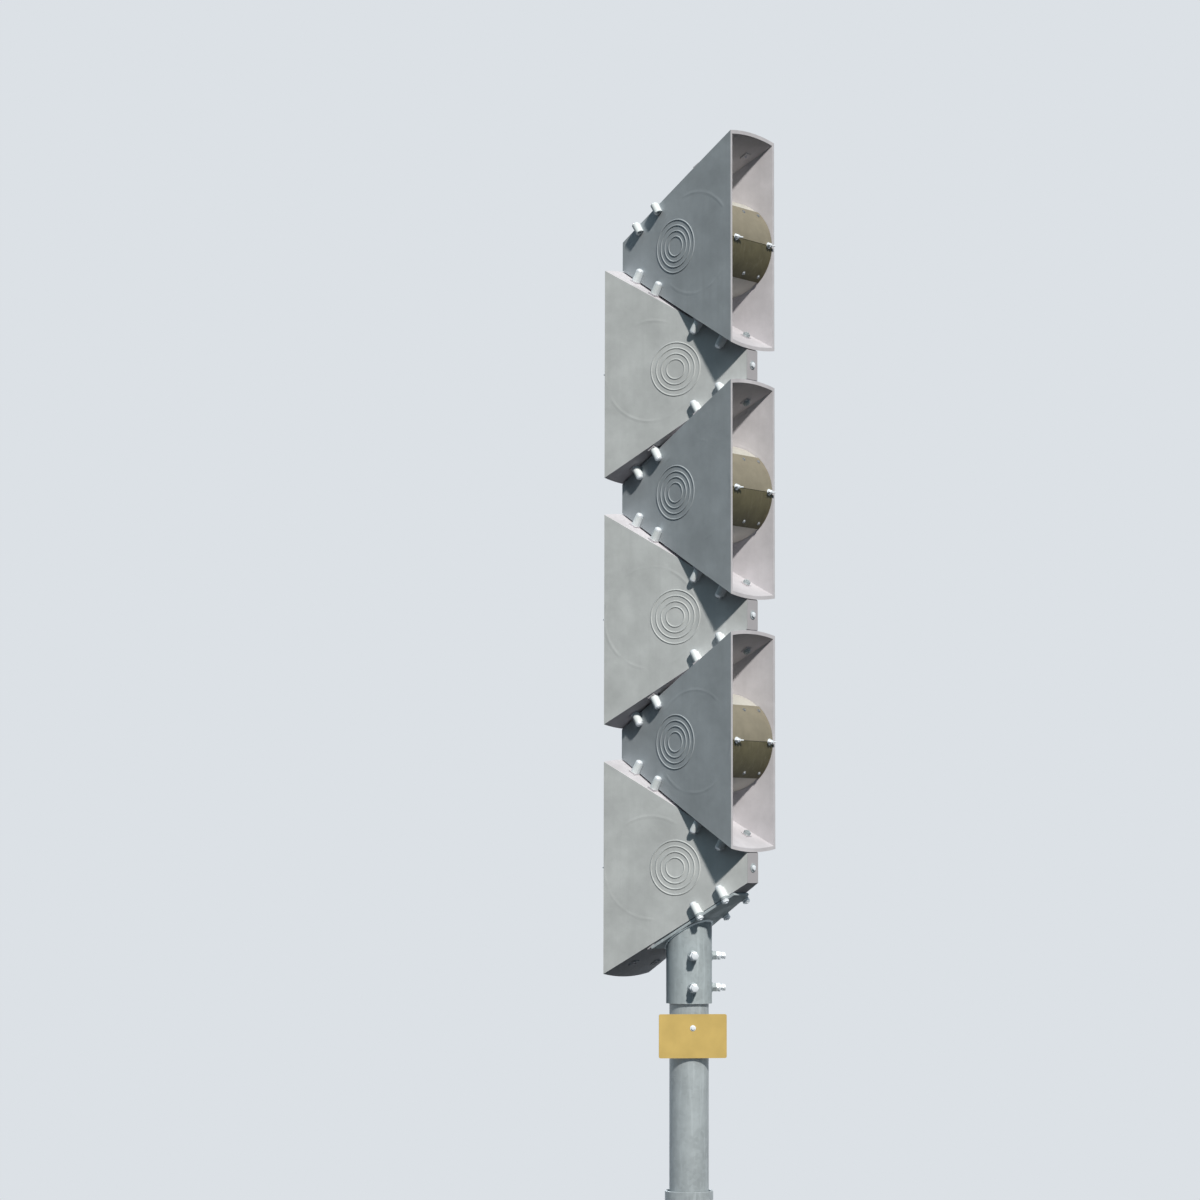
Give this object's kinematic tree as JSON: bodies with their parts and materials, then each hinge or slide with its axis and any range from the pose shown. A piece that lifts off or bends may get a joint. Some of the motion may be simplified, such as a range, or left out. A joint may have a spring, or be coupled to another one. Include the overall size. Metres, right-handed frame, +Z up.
{
  "type": "civil defense siren tower",
  "caption": "Steel pole with a slimmer tube mast and a bracket that carries a column of wedge-shaped siren horns nested over one another, looking by turns to two opposite sides.",
  "frame": {"origin": "middle of the base plate's underside, on the mast's axis", "axes": "+Z up along the mast, +X the way the uppermost horn's mouth looks, -Y the side with the hand hole"},
  "size_m": [0.4842, 0.38, 8.0701],
  "materials": {
    "galvanised": "hot-dip galvanised, dull",
    "zinc": "zinc plated",
    "horn_paint": "grey paint on an aluminium casting, semi-matt",
    "drum_grey": "light grey paint",
    "cover_olive": "matt olive",
    "notice_ochre": "matt ochre, bare"
  },
  "bodies": {
    "root": {"base_plate": "galvanised", "base_gussets": "galvanised", "pole": "galvanised", "pole_door": "galvanised", "pole_door_screws": "zinc", "earth_lug": "galvanised", "mast_tube": "galvanised", "centring_rings": "galvanised", "pole_weld_nuts": "galvanised", "pole_screws": "zinc", "bracket_plate": "galvanised", "bracket_sleeve": "galvanised", "sleeve_screws": "zinc", "horn_1": "horn_paint", "horn_2": "horn_paint", "horn_3": "horn_paint", "horn_4": "horn_paint", "horn_5": "horn_paint", "horn_6": "horn_paint", "driver_housing_1": "drum_grey", "driver_covers_1": "cover_olive", "driver_housing_2": "drum_grey", "driver_covers_2": "cover_olive", "driver_housing_3": "drum_grey", "driver_covers_3": "cover_olive", "driver_housing_4": "drum_grey", "driver_covers_4": "cover_olive", "driver_housing_5": "drum_grey", "driver_covers_5": "cover_olive", "driver_housing_6": "drum_grey", "driver_covers_6": "cover_olive", "wing_nuts": "zinc", "rear_plugs": "zinc", "seam_bolts_1_2": "zinc", "seam_bolts_2_3": "zinc", "seam_bolts_3_4": "zinc", "seam_bolts_4_5": "zinc", "seam_bolts_5_6": "zinc", "top_bolts": "zinc", "bracket_bolts": "zinc", "lifting_lug": "galvanised", "lifting_bolts": "zinc", "notice_plate": "notice_ochre", "notice_band": "galvanised", "notice_screw": "zinc"}
  },
  "joints": []
}
